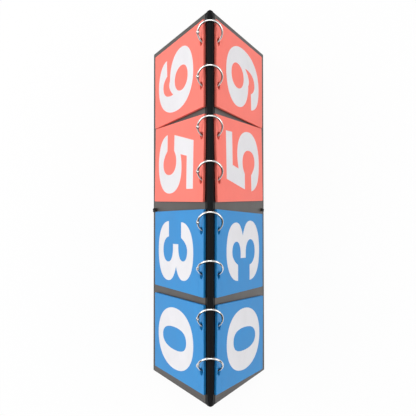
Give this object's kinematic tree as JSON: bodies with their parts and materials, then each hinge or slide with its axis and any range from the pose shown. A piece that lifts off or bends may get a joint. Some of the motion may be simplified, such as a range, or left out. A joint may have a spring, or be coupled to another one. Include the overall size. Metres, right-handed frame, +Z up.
{
  "type": "tabletop flip scoreboard",
  "caption": "Folding A-frame scoreboard: two hinged boards in black vinyl carry decks of red and blue number leaves on split metal rings over the ridge.",
  "frame": {"origin": "on the table, midway between the bottom edges of the two boards and at the middle of their length", "axes": "+X along the ridge, towards the red decks; -Y is the front, from which the numbers read from low to high X; +Z is up"},
  "size_m": [0.385, 0.1346, 0.1684],
  "materials": {
    "black_vinyl": "satin grain",
    "grey_board": "matte",
    "red_card": "satin",
    "blue_card": "satin",
    "ring_wire": "bright",
    "cord": "matte"
  },
  "bodies": {
    "front_board": {"front_cover": "black_vinyl", "front_core": "grey_board", "front_lining": "black_vinyl", "base_cord": "cord", "front_cord_knot": "cord", "front_leaves_1": "blue_card", "front_leaves_2": "blue_card", "front_leaves_3": "red_card", "front_leaves_4": "red_card", "front_header_1": "blue_card", "front_header_2": "blue_card", "front_header_3": "red_card", "front_header_4": "red_card"},
    "ridge": {"ridge_strip": "black_vinyl"},
    "rear_board": {"rear_cover": "black_vinyl", "rear_core": "grey_board", "rear_lining": "black_vinyl", "rear_cord_knot": "cord", "rear_leaves_1": "blue_card", "rear_leaves_2": "blue_card", "rear_leaves_3": "red_card", "rear_leaves_4": "red_card", "rear_header_1": "blue_card", "rear_header_2": "blue_card", "rear_header_3": "red_card", "rear_header_4": "red_card"},
    "front_card_1": {"front_card_1": "blue_card"},
    "front_card_2": {"front_card_2": "blue_card"},
    "front_card_3": {"front_card_3": "red_card"},
    "front_card_4": {"front_card_4": "red_card"},
    "rear_card_1": {"rear_card_1": "blue_card"},
    "rear_card_2": {"rear_card_2": "blue_card"},
    "rear_card_3": {"rear_card_3": "red_card"},
    "rear_card_4": {"rear_card_4": "red_card"},
    "ring_1": {"ring_1_lower_half": "ring_wire", "ring_1_pin": "ring_wire"},
    "ring_1_gate": {"ring_1_upper_half": "ring_wire"},
    "ring_2": {"ring_2_lower_half": "ring_wire", "ring_2_pin": "ring_wire"},
    "ring_2_gate": {"ring_2_upper_half": "ring_wire"},
    "ring_3": {"ring_3_lower_half": "ring_wire", "ring_3_pin": "ring_wire"},
    "ring_3_gate": {"ring_3_upper_half": "ring_wire"},
    "ring_4": {"ring_4_lower_half": "ring_wire", "ring_4_pin": "ring_wire"},
    "ring_4_gate": {"ring_4_upper_half": "ring_wire"},
    "ring_5": {"ring_5_lower_half": "ring_wire", "ring_5_pin": "ring_wire"},
    "ring_5_gate": {"ring_5_upper_half": "ring_wire"},
    "ring_6": {"ring_6_lower_half": "ring_wire", "ring_6_pin": "ring_wire"},
    "ring_6_gate": {"ring_6_upper_half": "ring_wire"},
    "ring_7": {"ring_7_lower_half": "ring_wire", "ring_7_pin": "ring_wire"},
    "ring_7_gate": {"ring_7_upper_half": "ring_wire"},
    "ring_8": {"ring_8_lower_half": "ring_wire", "ring_8_pin": "ring_wire"},
    "ring_8_gate": {"ring_8_upper_half": "ring_wire"}
  },
  "joints": [
    {"name": "ridge_turn", "type": "hinge", "parent": "front_board", "child": "ridge", "pos_m": [0, 0, 0.15933], "axis": [-1, 0, 0], "range_deg": [0, 22]},
    {"name": "rear_board_fold", "type": "hinge", "parent": "front_board", "child": "rear_board", "pos_m": [0, 0, 0.15933], "axis": [-1, 0, 0], "range_deg": [0, 44], "deforming": ["base_cord"]},
    {"name": "front_card_1_lift", "type": "hinge", "parent": "front_board", "child": "front_card_1", "pos_m": [-0.13994, -0.01135, 0.14578], "axis": [-0.9994, 0.0131, 0.0324], "range_deg": [0, 140]},
    {"name": "front_card_2_lift", "type": "hinge", "parent": "front_board", "child": "front_card_2", "pos_m": [-0.04577, -0.01135, 0.14578], "axis": [-0.9999, 0.0039, 0.0097], "range_deg": [0, 140]},
    {"name": "front_card_3_lift", "type": "hinge", "parent": "front_board", "child": "front_card_3", "pos_m": [0.04863, -0.01135, 0.14579], "axis": [-0.9989, -0.0176, -0.0437], "range_deg": [0, 140]},
    {"name": "front_card_4_lift", "type": "hinge", "parent": "front_board", "child": "front_card_4", "pos_m": [0.14231, -0.01135, 0.14578], "axis": [-1, -0.0007, -0.0016], "range_deg": [0, 140]},
    {"name": "rear_card_1_lift", "type": "hinge", "parent": "rear_board", "child": "rear_card_1", "pos_m": [-0.13975, 0.01135, 0.14578], "axis": [1, 0.0026, -0.0065], "range_deg": [0, 140]},
    {"name": "rear_card_2_lift", "type": "hinge", "parent": "rear_board", "child": "rear_card_2", "pos_m": [-0.04565, 0.01135, 0.14578], "axis": [1, -0.0026, 0.0065], "range_deg": [0, 140]},
    {"name": "rear_card_3_lift", "type": "hinge", "parent": "rear_board", "child": "rear_card_3", "pos_m": [0.04859, 0.01135, 0.14579], "axis": [0.9991, -0.0157, 0.0388], "range_deg": [0, 140]},
    {"name": "rear_card_4_lift", "type": "hinge", "parent": "rear_board", "child": "rear_card_4", "pos_m": [0.14228, 0.01135, 0.14578], "axis": [1, 0.0013, -0.0032], "range_deg": [0, 140]},
    {"name": "ring_1_stand", "type": "hinge", "parent": "ridge", "child": "ring_1", "pos_m": [-0.1601, 0, 0.15227], "axis": [0, -1, 0], "range_deg": [0, 44]},
    {"name": "ring_1_open", "type": "hinge", "parent": "ring_1", "child": "ring_1_gate", "pos_m": [-0.15438, 0.012, 0.15819], "axis": [-0.7193, 0, 0.6947], "range_deg": [0, 60]},
    {"name": "ring_2_stand", "type": "hinge", "parent": "ridge", "child": "ring_2", "pos_m": [-0.1161, 0, 0.15227], "axis": [0, -1, 0], "range_deg": [0, 55]},
    {"name": "ring_2_open", "type": "hinge", "parent": "ring_2", "child": "ring_2_gate", "pos_m": [-0.10935, 0.012, 0.15699], "axis": [-0.5736, 0, 0.8192], "range_deg": [0, 60]},
    {"name": "ring_3_stand", "type": "hinge", "parent": "ridge", "child": "ring_3", "pos_m": [-0.0661, 0, 0.15227], "axis": [0, -1, 0], "range_deg": [0, 42]},
    {"name": "ring_3_open", "type": "hinge", "parent": "ring_3", "child": "ring_3_gate", "pos_m": [-0.06059, 0.012, 0.15839], "axis": [-0.7431, 0, 0.6691], "range_deg": [0, 60]},
    {"name": "ring_4_stand", "type": "hinge", "parent": "ridge", "child": "ring_4", "pos_m": [-0.0221, 0, 0.15227], "axis": [0, -1, 0], "range_deg": [0, 56]},
    {"name": "ring_4_open", "type": "hinge", "parent": "ring_4", "child": "ring_4_gate", "pos_m": [-0.01527, 0.012, 0.15687], "axis": [-0.5592, 0, 0.829], "range_deg": [0, 60]},
    {"name": "ring_5_stand", "type": "hinge", "parent": "ridge", "child": "ring_5", "pos_m": [0.0279, 0, 0.15227], "axis": [0, -1, 0], "range_deg": [0, 55]},
    {"name": "ring_5_open", "type": "hinge", "parent": "ring_5", "child": "ring_5_gate", "pos_m": [0.03465, 0.012, 0.15699], "axis": [-0.5736, 0, 0.8192], "range_deg": [0, 60]},
    {"name": "ring_6_stand", "type": "hinge", "parent": "ridge", "child": "ring_6", "pos_m": [0.0719, 0, 0.15227], "axis": [0, -1, 0], "range_deg": [0, 56]},
    {"name": "ring_6_open", "type": "hinge", "parent": "ring_6", "child": "ring_6_gate", "pos_m": [0.07873, 0.012, 0.15687], "axis": [-0.5592, 0, 0.829], "range_deg": [0, 60]},
    {"name": "ring_7_stand", "type": "hinge", "parent": "ridge", "child": "ring_7", "pos_m": [0.1219, 0, 0.15227], "axis": [0, -1, 0], "range_deg": [0, 54]},
    {"name": "ring_7_open", "type": "hinge", "parent": "ring_7", "child": "ring_7_gate", "pos_m": [0.12856, 0.012, 0.15711], "axis": [-0.5878, 0, 0.809], "range_deg": [0, 60]},
    {"name": "ring_8_stand", "type": "hinge", "parent": "ridge", "child": "ring_8", "pos_m": [0.1659, 0, 0.15227], "axis": [0, -1, 0], "range_deg": [0, 56]},
    {"name": "ring_8_open", "type": "hinge", "parent": "ring_8", "child": "ring_8_gate", "pos_m": [0.17273, 0.012, 0.15687], "axis": [-0.5592, 0, 0.829], "range_deg": [0, 60]}
  ],
  "couplings": [
    {"joint": "ridge_turn", "follows": "rear_board_fold", "ratio": 0.5}
  ]
}
